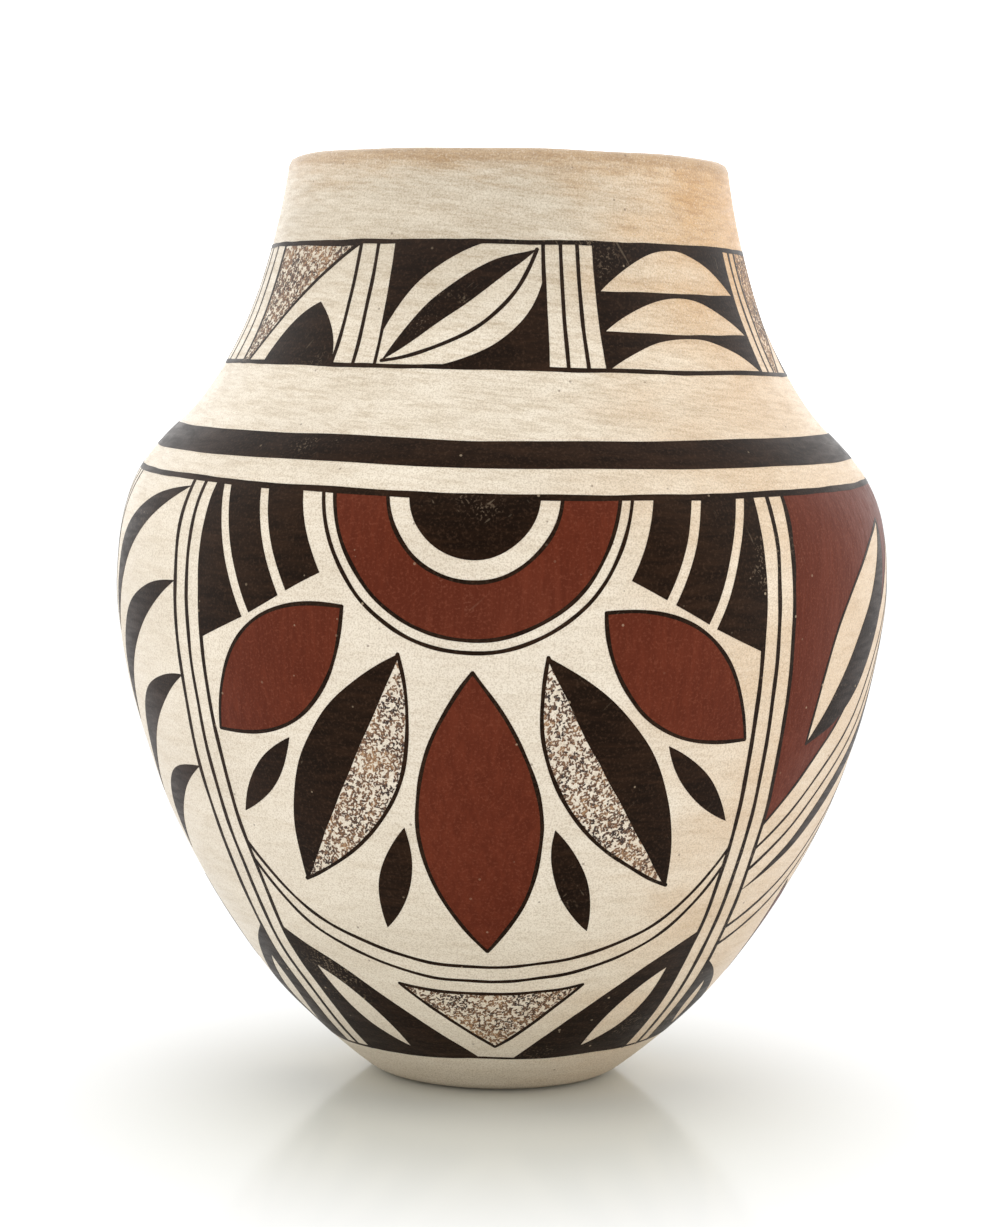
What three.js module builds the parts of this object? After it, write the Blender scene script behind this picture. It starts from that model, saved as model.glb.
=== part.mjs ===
// A hand-coiled pottery jar with a small foot, a wide belly, a hollow shoulder and a tall collar.
// Its wall starts as a pat of clay pressed in a shallow dish, and coils are laid on that one by one.
// Each coil laps down inside the one below it, on a bevelled seam that runs right round.
// Sizes are in millimetres and angles in degrees, with +Z up and the origin under the foot's centre.

import * as THREE from 'three';

// Outline of the outside, from the foot to the rim.
// A curve length is how far the outline is pulled along its lean before it bends away.
const jarHeight = 280;
const footRadius = 31; // flat ground that the jar rests on
const footEdgeRadius = 15; // rolled edge between that ground and the wall
const footFlare = 53; // lean of the wall above the foot, out from upright
const lowerBodyCurveLength = 82;
const bellyRadius = 118;
const bellyHeight = 152.5;
const bellyCurveLengthBelow = 20;
const bellyCurveLengthAbove = 15;
const shoulderRadius = 99; // where the outline turns from full to hollow
const shoulderHeight = 199.5;
const shoulderLean = 46; // lean of the wall there, in from upright
const shoulderCurveLengthBelow = 25;
const shoulderCurveLengthAbove = 26;
const rimRadius = 67;
const rimLean = 8; // lean of the collar at the rim, in from upright
const collarCurveLength = 27;

// Clay
const wallThickness = 6;
const floorThickness = 9;
const floorTurnWidth = 18; // wall above the foot edge that rounds into the floor inside

// Coiling, in widths measured along the wall
const patWallWidth = 40;
const rimCoilWidth = 12;
const lapWidth = 6; // how far a coil reaches down inside the one below
const seamGap = 0.3;
const coilCounts = { lower: 4, belly: 3, shoulder: 2, neck: 2 };

// Fineness of the curves
const turnSteps = 48;
const coilSteps = 3;
const patSteps = 5;
const footEdgeSteps = 3;
const floorSteps = 4;
const lipSteps = 6;

const slipColour = 0xd6cab4;
const blushColour = 0xcf9a68;
const bareClayColour = 0xc9b79c;
const slipRoughness = 0.42;
const bareClayRoughness = 0.6;

const radians = THREE.MathUtils.degToRad;

// Where one span of the outline ends and the next begins, with the way the wall runs there
const footLean = radians(footFlare);
const footEdgeEnd = new THREE.Vector2(
  footRadius + footEdgeRadius * Math.cos(footLean),
  footEdgeRadius - footEdgeRadius * Math.sin(footLean),
);
const footRun = new THREE.Vector2(Math.sin(footLean), Math.cos(footLean));
const belly = new THREE.Vector2(bellyRadius, bellyHeight);
const bellyRun = new THREE.Vector2(0, 1);
const shoulder = new THREE.Vector2(shoulderRadius, shoulderHeight);
const shoulderRun = new THREE.Vector2(-Math.sin(radians(shoulderLean)), Math.cos(radians(shoulderLean)));
const lipRadius = wallThickness / 2;
const rimEdge = new THREE.Vector2(rimRadius, jarHeight - lipRadius * (1 - Math.sin(radians(rimLean))));
const rimRun = new THREE.Vector2(-Math.sin(radians(rimLean)), Math.cos(radians(rimLean)));

const along = (point, run, distance) => point.clone().addScaledVector(run, distance);

const wall = new THREE.CurvePath();
wall.add(new THREE.CubicBezierCurve(
  footEdgeEnd,
  along(footEdgeEnd, footRun, lowerBodyCurveLength),
  along(belly, bellyRun, -bellyCurveLengthBelow),
  belly,
));
wall.add(new THREE.CubicBezierCurve(
  belly,
  along(belly, bellyRun, bellyCurveLengthAbove),
  along(shoulder, shoulderRun, -shoulderCurveLengthBelow),
  shoulder,
));
wall.add(new THREE.CubicBezierCurve(
  shoulder,
  along(shoulder, shoulderRun, shoulderCurveLengthAbove),
  along(rimEdge, rimRun, -collarCurveLength),
  rimEdge,
));
const wallWidth = wall.getLength();

// Points of the wall, at a width measured up it from the foot edge
function outerPoint(width) {
  return wall.getPoint(width / wallWidth);
}

function innerPoint(width) {
  const run = wall.getTangent(width / wallWidth);
  const outward = new THREE.Vector2(run.y, -run.x);
  return along(outerPoint(width), outward, -wallThickness);
}

function wallPoints(pointAt, from, to, steps) {
  const points = [];
  for (let step = 0; step <= steps; step += 1) {
    points.push(pointAt(THREE.MathUtils.lerp(from, to, step / steps)));
  }
  return points;
}

// A seam slants through the wall, so its two faces stand further apart along the wall than across the seam
const seamSlant = Math.atan2(wallThickness, lapWidth);
const seamShift = seamGap / Math.sin(seamSlant) / 2;

function turned(section) {
  return new THREE.LatheGeometry(section, turnSteps).rotateX(Math.PI / 2);
}

function clay(color, roughness) {
  return new THREE.MeshStandardMaterial({ color, roughness, metalness: 0 });
}

function piece(name, section, material) {
  const mesh = new THREE.Mesh(turned(section), material);
  mesh.name = name;
  return mesh;
}

// The pat: a rounded foot and the start of the wall, hollowed to a bowl inside
function patSection(topSeam) {
  const top = topSeam - seamShift;
  const centre = new THREE.Vector2(0, 0);
  const footEdge = new THREE.EllipseCurve(
    footRadius, footEdgeRadius, footEdgeRadius, footEdgeRadius, -Math.PI / 2, -footLean,
  );
  const turn = innerPoint(floorTurnWidth);
  const run = wall.getTangent(floorTurnWidth / wallWidth);
  const reach = (turn.y - floorThickness) / run.y;
  const corner = along(turn, run, -reach);
  const floorEdge = new THREE.Vector2(corner.x - reach, floorThickness);
  const bowl = new THREE.QuadraticBezierCurve(turn, corner, floorEdge);
  return [
    centre,
    ...footEdge.getPoints(footEdgeSteps).slice(0, -1),
    ...wallPoints(outerPoint, 0, top, patSteps),
    ...wallPoints(innerPoint, top - lapWidth, floorTurnWidth, patSteps).slice(0, -1),
    ...bowl.getPoints(floorSteps),
    new THREE.Vector2(0, floorThickness),
  ];
}

// A coil: a closed ring of wall between two seams
function coilSection(lowerSeam, upperSeam) {
  const from = lowerSeam + seamShift;
  const to = upperSeam - seamShift;
  const ring = [
    ...wallPoints(outerPoint, from, to, coilSteps),
    ...wallPoints(innerPoint, to - lapWidth, from - lapWidth, coilSteps),
  ];
  return [...ring, ring[0].clone()];
}

// The rim coil: a last narrow ring, wiped to a half-round lip
function rimSection(lowerSeam) {
  const from = lowerSeam + seamShift;
  const outward = new THREE.Vector2(rimRun.y, -rimRun.x);
  const lipCentre = along(rimEdge, outward, -lipRadius);
  const lipStart = radians(rimLean);
  const lip = new THREE.EllipseCurve(
    lipCentre.x, lipCentre.y, lipRadius, lipRadius, lipStart, lipStart + Math.PI,
  );
  const ring = [
    ...wallPoints(outerPoint, from, wallWidth, coilSteps).slice(0, -1),
    ...lip.getPoints(lipSteps),
    ...wallPoints(innerPoint, wallWidth, from - lapWidth, coilSteps).slice(1),
  ];
  return [...ring, ring[0].clone()];
}

const slip = clay(slipColour, slipRoughness);
const blushedSlip = clay(blushColour, slipRoughness);
const bareClay = clay(bareClayColour, bareClayRoughness);

const jar = new THREE.Group();
jar.add(piece('base_pat', patSection(patWallWidth), bareClay));

const rimSeam = wallWidth - rimCoilWidth;
const coilCount = Object.values(coilCounts).reduce((sum, count) => sum + count, 0);
const coilWidth = (rimSeam - patWallWidth) / coilCount;
let seam = patWallWidth;
for (const [zone, count] of Object.entries(coilCounts)) {
  for (let number = 1; number <= count; number += 1) {
    jar.add(piece(`${zone}_coil_${number}`, coilSection(seam, seam + coilWidth), slip.clone()));
    seam += coilWidth;
  }
}

jar.add(piece('rim_coil', rimSection(rimSeam), blushedSlip));

export default jar;
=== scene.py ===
# Looks of a hand-coiled and painted pottery jar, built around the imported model.
# Shapes are worked out in millimetres and degrees. Materials, lights and the camera are in metres.

import math
import random

import bpy
import numpy as np
from mathutils import Matrix, Vector, noise
from mathutils.geometry import delaunay_2d_cdt


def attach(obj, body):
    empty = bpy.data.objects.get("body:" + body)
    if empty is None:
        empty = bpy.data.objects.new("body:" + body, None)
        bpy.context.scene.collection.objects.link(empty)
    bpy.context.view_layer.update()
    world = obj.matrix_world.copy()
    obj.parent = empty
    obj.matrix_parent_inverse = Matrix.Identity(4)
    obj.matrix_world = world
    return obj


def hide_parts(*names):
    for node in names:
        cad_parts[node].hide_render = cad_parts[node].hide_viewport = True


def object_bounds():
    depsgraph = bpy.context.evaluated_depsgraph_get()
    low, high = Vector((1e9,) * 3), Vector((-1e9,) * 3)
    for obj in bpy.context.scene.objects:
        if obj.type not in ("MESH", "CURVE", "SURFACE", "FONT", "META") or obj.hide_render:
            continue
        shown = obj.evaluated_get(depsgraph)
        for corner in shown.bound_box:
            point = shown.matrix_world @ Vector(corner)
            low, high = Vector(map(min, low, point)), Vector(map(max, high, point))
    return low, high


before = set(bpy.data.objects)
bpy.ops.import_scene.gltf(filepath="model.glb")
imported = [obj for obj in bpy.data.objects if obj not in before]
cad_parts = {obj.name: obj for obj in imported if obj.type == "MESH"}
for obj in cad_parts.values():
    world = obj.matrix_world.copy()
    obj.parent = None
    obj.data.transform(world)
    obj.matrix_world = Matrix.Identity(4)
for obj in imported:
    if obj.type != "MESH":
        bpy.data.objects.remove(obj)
cad_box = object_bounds()
scene = bpy.context.scene

MM = 0.001
BODY = "root"

# Without a seed, noise vectors would differ from run to run
noise.seed_set(5)

# The outline, as in the model's source
JAR_HEIGHT = cad_box[1].z / MM
FOOT_RADIUS = 31
FOOT_EDGE_RADIUS = 15
FOOT_FLARE = 53
LOWER_BODY_CURVE = 82
BELLY_RADIUS = 118
BELLY_HEIGHT = 152.5
BELLY_CURVE_BELOW = 20
BELLY_CURVE_ABOVE = 15
SHOULDER_RADIUS = 99
SHOULDER_HEIGHT = 199.5
SHOULDER_LEAN = 46
SHOULDER_CURVE_BELOW = 25
SHOULDER_CURVE_ABOVE = 26
RIM_RADIUS = 67
RIM_LEAN = 8
COLLAR_CURVE = 27
WALL = 6
FLOOR_THICKNESS = 9
FLOOR_TURN = 18
PAT_WALL = 40
RIM_COIL = 12
LAP = 6
COILS = {"lower": 4, "belly": 3, "shoulder": 2, "neck": 2}

# Fineness of the meshes
TURN_STEPS = 288
ROW_STEP = 2.0
BRUSH_STEP = 1.7
FILM_NET = 3.0


def srgb(code):
    """A colour as the shader wants it, from its six-digit code."""
    parts = [int(code[i:i + 2], 16) / 255 for i in (0, 2, 4)]
    linear = [c / 12.92 if c <= 0.04045 else ((c + 0.055) / 1.055) ** 2.4 for c in parts]
    return (*linear, 1.0)


# The jar's section, from the middle of the foot up the outside, over the lip and down the inside


def bezier(*controls, steps=300):
    share = np.linspace(0, 1, steps + 1)[:, None]
    points = [np.array(c, float) for c in controls]
    while len(points) > 1:
        points = [a + (b - a) * share for a, b in zip(points, points[1:])]
    return points[0]


def arc(centre, radius, start, end):
    turn = np.linspace(start, end, 61)
    return np.array(centre) + radius * np.stack([np.cos(turn), np.sin(turn)], 1)


def lengths(points):
    return np.concatenate([[0.0], np.cumsum(np.hypot(*np.diff(points, axis=0).T))])


def outwards(points):
    run = np.gradient(points, axis=0)
    return np.stack([run[:, 1], -run[:, 0]], 1) / np.hypot(*run.T)[:, None]


def outer_wall():
    """The outside from the foot edge to the lip, on three curves that join smoothly."""
    flare, lean, rim = (math.radians(a) for a in (FOOT_FLARE, SHOULDER_LEAN, RIM_LEAN))
    foot = (
        FOOT_RADIUS + FOOT_EDGE_RADIUS * math.cos(flare),
        FOOT_EDGE_RADIUS - FOOT_EDGE_RADIUS * math.sin(flare),
    )
    top = (RIM_RADIUS, JAR_HEIGHT - WALL / 2 * (1 - math.sin(rim)))
    # Places on the outline, each with its lean inwards and the pull of the curves below and above
    places = [
        (foot, -flare, 0, LOWER_BODY_CURVE),
        ((BELLY_RADIUS, BELLY_HEIGHT), 0, BELLY_CURVE_BELOW, BELLY_CURVE_ABOVE),
        ((SHOULDER_RADIUS, SHOULDER_HEIGHT), lean, SHOULDER_CURVE_BELOW, SHOULDER_CURVE_ABOVE),
        (top, rim, COLLAR_CURVE, 0),
    ]
    knots = []
    for place, tilt, below, above in places:
        point, run = np.array(place), np.array([-math.sin(tilt), math.cos(tilt)])
        knots.append((point - below * run, point, point + above * run))
    spans = []
    for (_, low, after), (before, high, _) in zip(knots, knots[1:]):
        spans.append(bezier(low, after, before, high)[1 if spans else 0:])
    return np.concatenate(spans)


outer = outer_wall()
outer_reach = lengths(outer)
WALL_WIDTH = outer_reach[-1]
inner = outer - WALL * outwards(outer)


def whole_section():
    """Points of the section, and the reach at which the wall and the inside start."""
    flare, rim = math.radians(FOOT_FLARE), math.radians(RIM_LEAN)
    ground = np.linspace((0, 0), (FOOT_RADIUS, 0), 12)
    edge = arc((FOOT_RADIUS, FOOT_EDGE_RADIUS), FOOT_EDGE_RADIUS, -math.pi / 2, -flare)
    lip_centre = (outer[-1] + inner[-1]) / 2
    lip = arc(lip_centre, WALL / 2, rim, rim + math.pi)
    kept = outer_reach >= FLOOR_TURN
    inside = inner[kept][::-1]
    run = (inside[-2] - inside[-1]) / np.linalg.norm(inside[-2] - inside[-1])
    reach = (inside[-1][1] - FLOOR_THICKNESS) / run[1]
    corner = inside[-1] - run * reach
    bowl = bezier(inside[-1], corner, (corner[0] - reach, FLOOR_THICKNESS), steps=80)
    floor = np.linspace(bowl[-1], (0, FLOOR_THICKNESS), 12)
    parts = [ground, edge[1:], outer[1:], lip[1:], inside[1:], bowl[1:], floor[1:]]
    points = np.concatenate(parts)
    starts = np.cumsum([0] + [len(p) for p in parts])
    reach = lengths(points)
    wall_start = reach[starts[2] - 1]
    lip_end = reach[starts[4] - 1]
    inside_widths = np.concatenate([[WALL_WIDTH], outer_reach[kept][::-1][1:]])
    inside_reach = reach[starts[4] - 1:starts[5]]
    return points, reach, wall_start, lip_end, inside_widths[::-1], inside_reach[::-1]


section, section_reach, WALL_START, LIP_END, inside_widths, inside_reach = whole_section()
section_out = outwards(section)
SECTION_END = section_reach[-1]


def wall_radius(width):
    return np.interp(width, outer_reach, outer[:, 0])


def inside_at(width):
    """Reach on the inside, level with a width up the outside."""
    return np.interp(width, inside_widths, inside_reach)


# The traces of the hand: slow waves left by scraping, and scraper ridges inside


def hand_waves(count, turns, pitches, size, seed):
    """Waves, each as cycles round the jar, radians per millimetre up the wall, start and height."""
    rng = random.Random(seed)
    waves = []
    for _ in range(count):
        around = rng.randint(*turns)
        up = 2 * math.pi / rng.uniform(*pitches) * rng.choice((-1, 1))
        waves.append((around, up, rng.uniform(0, 6.28), size))
    return waves


OUTER_WAVES = hand_waves(count=16, turns=(2, 11), pitches=(34, 110), size=0.055, seed=11)
INNER_WAVES = hand_waves(count=8, turns=(1, 5), pitches=(7, 19), size=0.07, seed=12)

# The waves fade near the foot, the middle of the floor and the lip, over these distances
FOOT_FADE = (4, 45)
MIDDLE_FADE = (4, 40)
LIP_FADE = (12, 75)
RIDGES_FADE = (6, 30)
LEFT_AT_LIP = 0.3


def smooth_step(value, low, high):
    share = np.clip((value - low) / (high - low), 0, 1)
    return share * share * (3 - 2 * share)


def swell(waves, turn, reach):
    return sum(size * np.sin(count * turn + pitch * reach + phase) for count, pitch, phase, size in waves)


def hand(turn, reach):
    """How far the surface stands out, in the waves of the hand."""
    calm = smooth_step(reach - FOOT_RADIUS, *FOOT_FADE) * smooth_step(SECTION_END - reach, *MIDDLE_FADE)
    calm = calm * (LEFT_AT_LIP + (1 - LEFT_AT_LIP) * smooth_step(np.abs(reach - LIP_END), *LIP_FADE))
    inside = smooth_step(reach - LIP_END, *RIDGES_FADE)
    return calm * (swell(OUTER_WAVES, turn, reach) + inside * swell(INNER_WAVES, turn, reach))


def at_reach(points, reach):
    """The two numbers of the section's points, or of its outward directions, at a reach."""
    return np.stack([np.interp(reach, section_reach, values) for values in points.T])


def skin(turn, reach, lift=0.0):
    """Points in metres, at a turn in radians from the front and a reach along the section."""
    turn, reach = np.broadcast_arrays(turn, reach)
    off = hand(turn, reach) + lift
    radius, height = at_reach(section, reach) + at_reach(section_out, reach) * off
    return np.stack([radius * np.sin(turn), -radius * np.cos(turn), height], -1) * MM


def skin_normals(turn, reach):
    turn_step, reach_step = 0.006, 0.5
    across = skin(turn + turn_step, reach) - skin(turn - turn_step, reach)
    along = skin(turn, reach + reach_step) - skin(turn, reach - reach_step)
    normals = np.cross(across, along)
    size = np.linalg.norm(normals, axis=-1, keepdims=True)
    straight = np.where(reach < FOOT_RADIUS, -1.0, 1.0)[..., None] * (0, 0, 1)
    near_axis = size < 1e-9
    return np.where(near_axis, straight, normals / np.where(near_axis, 1, size))


def put(name, data):
    """A new object in the scene."""
    thing = bpy.data.objects.new(name, data)
    scene.collection.objects.link(thing)
    return thing


def make_piece(name, points, groups, material, inward=None):
    """A mesh from groups of alike faces, each with its corners' numbers and their normals."""
    faces = [face for corners, _ in groups for face in corners.tolist()]
    normals = np.concatenate([ups.reshape(-1, 3) for _, ups in groups])
    mesh = bpy.data.meshes.new(name)
    mesh.from_pydata(points.tolist(), [], faces)
    mesh.polygons.foreach_set("use_smooth", [True] * len(mesh.polygons))
    if inward is not None:
        inward_values = mesh.attributes.new("inward", "FLOAT", "POINT")
        inward_values.data.foreach_set("value", inward.astype(np.float32))
    mesh.normals_split_custom_set(normals.tolist())
    mesh.materials.append(material)
    piece = put(name, mesh)
    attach(piece, BODY)
    return piece


def flat_group(points, corners):
    """Faces that are shaded flat."""
    first, second, third = (points[corners[:, i]] for i in range(3))
    normals = np.cross(second - first, third - second)
    size = np.maximum(np.linalg.norm(normals, axis=1, keepdims=True), 1e-15)
    normals = normals / size
    return corners, np.repeat(normals[:, None], corners.shape[1], 1)


# Materials

WHITE = (1, 1, 1, 1)


class Nodes:
    """The nodes of a material or a world."""

    def __init__(self, owner, place="Object"):
        owner.use_nodes = True
        self.owner = owner
        self.tree = owner.node_tree
        self.place = self.add("TexCoord").outputs[place]

    def feed(self, socket, value):
        if isinstance(value, bpy.types.NodeSocket):
            self.tree.links.new(value, socket)
        else:
            socket.default_value = value

    def add(self, kind, inputs=None, **settings):
        node = self.tree.nodes.new("ShaderNode" + kind)
        for key, value in settings.items():
            setattr(node, key, value)
        for key, value in (inputs or {}).items():
            self.feed(node.inputs[key], value)
        return node

    def noise(self, scale, detail, roughness, stretch=(1, 1, 1), distortion=0.0, tilt=0.0):
        """Noise with features of about 1 / scale metres, longer along axes with a small stretch."""
        place = self.place
        if tilt:
            place = self.add("Mapping", {"Vector": place, "Rotation": (0, tilt, 0)}).outputs[0]
        place = self.add("Mapping", {"Vector": place, "Scale": stretch}).outputs[0]
        inputs = {"Scale": scale, "Detail": detail, "Roughness": roughness, "Distortion": distortion}
        return self.add("TexNoise", {"Vector": place, **inputs}).outputs["Fac"]

    def remap(self, value, low, high, new_low=0.0, new_high=1.0, kind="SMOOTHSTEP"):
        inputs = {"Value": value, "From Min": low, "From Max": high, "To Min": new_low, "To Max": new_high}
        return self.add("MapRange", inputs, interpolation_type=kind).outputs["Result"]

    def math(self, operation, first, second):
        return self.add("Math", {0: first, 1: second}, operation=operation).outputs[0]

    def times(self, first, second):
        return self.math("MULTIPLY", first, second)

    def mix(self, share, first, second, blend="MIX"):
        return self.add("Mix", {0: share, 6: first, 7: second}, data_type="RGBA", blend_type=blend).outputs[2]

    def specks(self, scale, size, share):
        """Small round spots in some cells of a net, as 0 or 1 with a soft edge."""
        cells = self.add("TexVoronoi", {"Vector": self.place, "Scale": scale})
        spot = self.remap(cells.outputs["Distance"], size, size * 0.6)
        pick = self.add("SeparateColor", {"Color": cells.outputs["Color"]}).outputs["Red"]
        return self.times(spot, self.math("LESS_THAN", pick, share))

    def bump(self, height, distance, **under):
        inputs = {"Height": height, "Strength": 1.0, "Distance": distance, **under}
        return self.add("Bump", inputs).outputs["Normal"]

    def blend(self, share, first, second):
        """A mixture of two shaders."""
        return self.add("MixShader", {0: share, 1: first, 2: second}).outputs[0]

    def shade(self, inputs, name="Principled BSDF"):
        """Sets the inputs of the shader that is there from the start."""
        shader = self.tree.nodes[name]
        for key, value in inputs.items():
            self.feed(shader.inputs[key], value)
        return shader.outputs[0]


# Colours of the slip, and of what fire and hand have done to it
CREAM = srgb("eae0cf")
CREAM_SHADE = srgb("e0d5c3")
SMOKE_GREY = srgb("bcb09b")
SMEAR_TAN = srgb("b59b77")
BLUSH = srgb("c89752")
RIM_TAN = srgb("b8915e")
LIP_TAN = srgb("a98554")
FOOT_GREY = srgb("d0c4b2")
STREAK_SHADE = srgb("d8cdbd")
STROKE_SHADE = srgb("d5cab9")
GRAIN_SHADE = srgb("bfb2a0")
FLECK_LIGHT = srgb("f0e7da")
# Brown of the specks in the clay, also used as painted shade in tiny pits
SPECK_AND_PIT_SHADE = srgb("5d4732")
BARE_CLAY = srgb("b98f63")
BARE_CLAY_SHADE = srgb("a1794f")

# Heights between which each comes in, and how far its edge wanders up and down
SMOKE_HEIGHTS = (0.21, 0.265)
SMEAR_HEIGHTS = (0.252, 0.277)
BLUSH_HEIGHTS = (0.2, 0.265)
RIM_HEIGHTS = (0.268, 0.278)
RIM_WANDER = 0.0035
LIP_HEIGHTS = (0.2752, 0.277)
LIP_WANDER = 0.0008
FOOT_HEIGHTS = (0.03, 0.0)
FOOT_WANDER = 0.01
POLISH_HEIGHTS = (0.15, 0.22)
STROKE_TILT = -0.11

# Millimetres down the inside at which the slip ends
BARE_DEPTHS = (18, 26)
BARE_WANDER = 9


def slip_material():
    """Stone-polished cream slip outside, fading to bare scraped clay inside the mouth."""
    n = Nodes(bpy.data.materials.new("polished_slip"))
    height = n.add("SeparateXYZ", {"Vector": n.place}).outputs["Z"]
    clouds = n.noise(17, 4, 0.6, (1, 1, 2.2))
    streaks = n.noise(58, 5, 0.62, (1, 1, 8), 0.3)
    strokes = n.noise(110, 5, 0.66, (1, 1, 9), 0.25, STROKE_TILT)
    smears = n.noise(34, 6, 0.66, (1, 1, 5.5), 0.5, STROKE_TILT)
    scraped = n.noise(140, 4, 0.6, (1, 1, 5))
    grain = n.noise(2200, 2, 0.6)
    flecks = n.noise(1700, 3, 0.6)

    def ragged(value, reach, low=0.2, high=0.8):
        return n.math("ADD", value, n.remap(streaks, low, high, -reach, reach))

    colour = n.mix(n.remap(clouds, 0.3, 0.7), CREAM, CREAM_SHADE)
    # Smoke from the firing has greyed the collar, and left tan streaks near the rim
    smoke = n.times(n.remap(height, *SMOKE_HEIGHTS), n.remap(clouds, 0.2, 0.6, 0.25, 1.0))
    colour = n.mix(n.times(smoke, 0.58), colour, SMOKE_GREY)
    smeared = n.times(n.remap(smears, 0.46, 0.68, 0, 0.7), n.remap(height, *SMEAR_HEIGHTS))
    colour = n.mix(smeared, colour, SMEAR_TAN)
    # The firing blush: warm on one side and round the rim
    level = n.add("VectorMath", {0: n.place, 1: (1, 1, 0)}, operation="MULTIPLY").outputs[0]
    outward = n.add("VectorMath", {0: level}, operation="NORMALIZE").outputs[0]
    across = n.add("SeparateXYZ", {"Vector": outward}).outputs["X"]
    side = n.math("ADD", across, n.remap(clouds, 0.2, 0.8, -0.25, 0.25))
    warmth = n.times(n.remap(side, 0.1, 0.95), n.remap(height, *BLUSH_HEIGHTS, 0.42, 0.9))
    colour = n.mix(warmth, colour, BLUSH)
    colour = n.mix(n.remap(ragged(height, RIM_WANDER), *RIM_HEIGHTS, 0, 0.35), colour, RIM_TAN)
    colour = n.mix(n.remap(ragged(height, LIP_WANDER), *LIP_HEIGHTS, 0, 0.6), colour, LIP_TAN)
    # The foot is greyer and less polished
    low = n.remap(ragged(height, FOOT_WANDER, 0, 1), *FOOT_HEIGHTS)
    colour = n.mix(n.times(low, 0.75), colour, FOOT_GREY)
    # Stone polishing leaves short level strokes, most of them above the belly
    polished = n.remap(height, *POLISH_HEIGHTS, 0.12, 0.5)
    colour = n.mix(n.remap(streaks, 0.42, 0.75, 0, 0.3), colour, STREAK_SHADE, "MULTIPLY")
    colour = n.mix(n.times(n.remap(strokes, 0.42, 0.64), polished), colour, STROKE_SHADE, "MULTIPLY")
    colour = n.mix(n.remap(grain, 0.42, 0.66, 0, 0.5), colour, GRAIN_SHADE, "MULTIPLY")
    colour = n.mix(n.remap(flecks, 0.5, 0.72, 0, 0.3), colour, FLECK_LIGHT)
    # Sparse brown specks: specks in the clay, and painted shade where tiny pits would be
    colour = n.mix(n.times(n.specks(330, 0.16, 0.05), 0.6), colour, SPECK_AND_PIT_SHADE)
    # Inside, the slip ends in a ragged edge below the lip
    inward = n.add("Attribute", attribute_name="inward").outputs["Fac"]
    bare = n.remap(ragged(inward, BARE_WANDER, 0, 1), *BARE_DEPTHS)
    clay = n.mix(n.remap(scraped, 0.3, 0.7), BARE_CLAY, BARE_CLAY_SHADE)
    colour = n.mix(bare, colour, clay)
    rough = n.remap(streaks, 0.2, 0.8, 0.34, 0.5)
    rough = n.math("MAXIMUM", rough, n.times(low, 0.66))
    rough = n.math("MAXIMUM", rough, n.times(bare, 0.8))
    normal = n.bump(n.remap(streaks, 0.2, 0.8), 0.00012)
    normal = n.bump(grain, 0.00007, Normal=normal)
    normal = n.bump(n.times(scraped, bare), 0.0004, Normal=normal)
    n.shade({"Base Color": colour, "Roughness": rough, "Normal": normal})
    return n.owner


# The shine of the paints, the slants of their scratches and the strength of the rubbing
PAINT_SHINE = {"Specular IOR Level": 0.08, "Specular Tint": (1.0, 0.75, 0.55, 1.0)}
SCRATCH_TILTS = (0.5, -0.8)
RUBBED = 1.35


def paint_material(name, colours, polish, streak_stretch, wear):
    """Brushed mineral paint: streaks of the brush, thin patches and a few worn specks."""
    thin, thick, scuffed, worn = (srgb(colour) for colour in colours)
    n = Nodes(bpy.data.materials.new(name))
    brush = n.noise(75, 5, 0.65, streak_stretch, 0.4)
    patches = n.noise(26, 3, 0.6)
    grain = n.noise(1300, 2, 0.6)
    cover = n.remap(n.math("ADD", n.times(brush, 0.6), n.times(patches, 0.4)), 0.32, 0.6)
    colour = n.mix(cover, thin, thick)
    colour = n.mix(n.remap(grain, 0.48, 0.72, 0, 0.6), colour, scuffed)
    chips = n.times(n.specks(420, 0.2, 0.07), n.remap(patches, 0.4, 0.6))
    colour = n.mix(n.times(chips, 0.75), colour, worn)
    rubbed = n.times(n.remap(grain, 0.55, 0.62), n.remap(patches, 0.6, 0.72))
    colour = n.mix(n.times(rubbed, RUBBED * wear), colour, worn)
    for tilt in SCRATCH_TILTS:
        scratches = n.remap(n.noise(900, 1, 0.5, (1, 1, 0.05), tilt=tilt), 0.725, 0.76)
        colour = n.mix(n.times(scratches, n.remap(patches, 0.5, 0.7, 0, wear)), colour, worn)
    rough = n.remap(brush, 0.25, 0.75, polish, polish + 0.14)
    normal = n.bump(grain, 0.00005, Normal=n.bump(brush, 0.00008))
    n.shade({"Base Color": colour, "Roughness": rough, "Normal": normal, **PAINT_SHINE})
    return n.owner


def stipple_material():
    """Thin brown paint dabbed on with a stiff brush, from light brown to nearly black."""
    n = Nodes(bpy.data.materials.new("stippled_brown"))
    patches = n.noise(90, 3, 0.6)
    marks = n.noise(1100, 2, 0.6)
    depth = n.math("ADD", n.times(patches, 0.45), n.times(marks, 0.55))
    light, middling, dark = (srgb(colour) for colour in STIPPLE_COLOURS)
    colour = n.mix(n.remap(depth, 0.36, 0.5), light, middling)
    colour = n.mix(n.remap(depth, 0.48, 0.6), colour, dark)
    rough = n.remap(marks, 0.2, 0.8, 0.45, 0.6)
    n.shade({"Base Color": colour, "Roughness": rough, "Normal": n.bump(marks, 0.00005)})
    return n.owner


# Colours of a paint where it is thin, thick, scuffed and worn, and of the dabs from light to dark
BLACK_COLOURS = ("2a1a10", "120804", "3b2a1f", "a8967f")
RED_COLOURS = ("642c1c", "562315", "723b2a", "a58a72")
STIPPLE_COLOURS = ("a5815c", "6b4a31", "28170f")

slip = slip_material()
black = paint_material("black_paint", BLACK_COLOURS, polish=0.34, streak_stretch=(1, 1, 7), wear=0.22)
red = paint_material("red_slip", RED_COLOURS, polish=0.36, streak_stretch=(7, 7, 0.7), wear=0.09)
brown = stipple_material()


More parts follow.
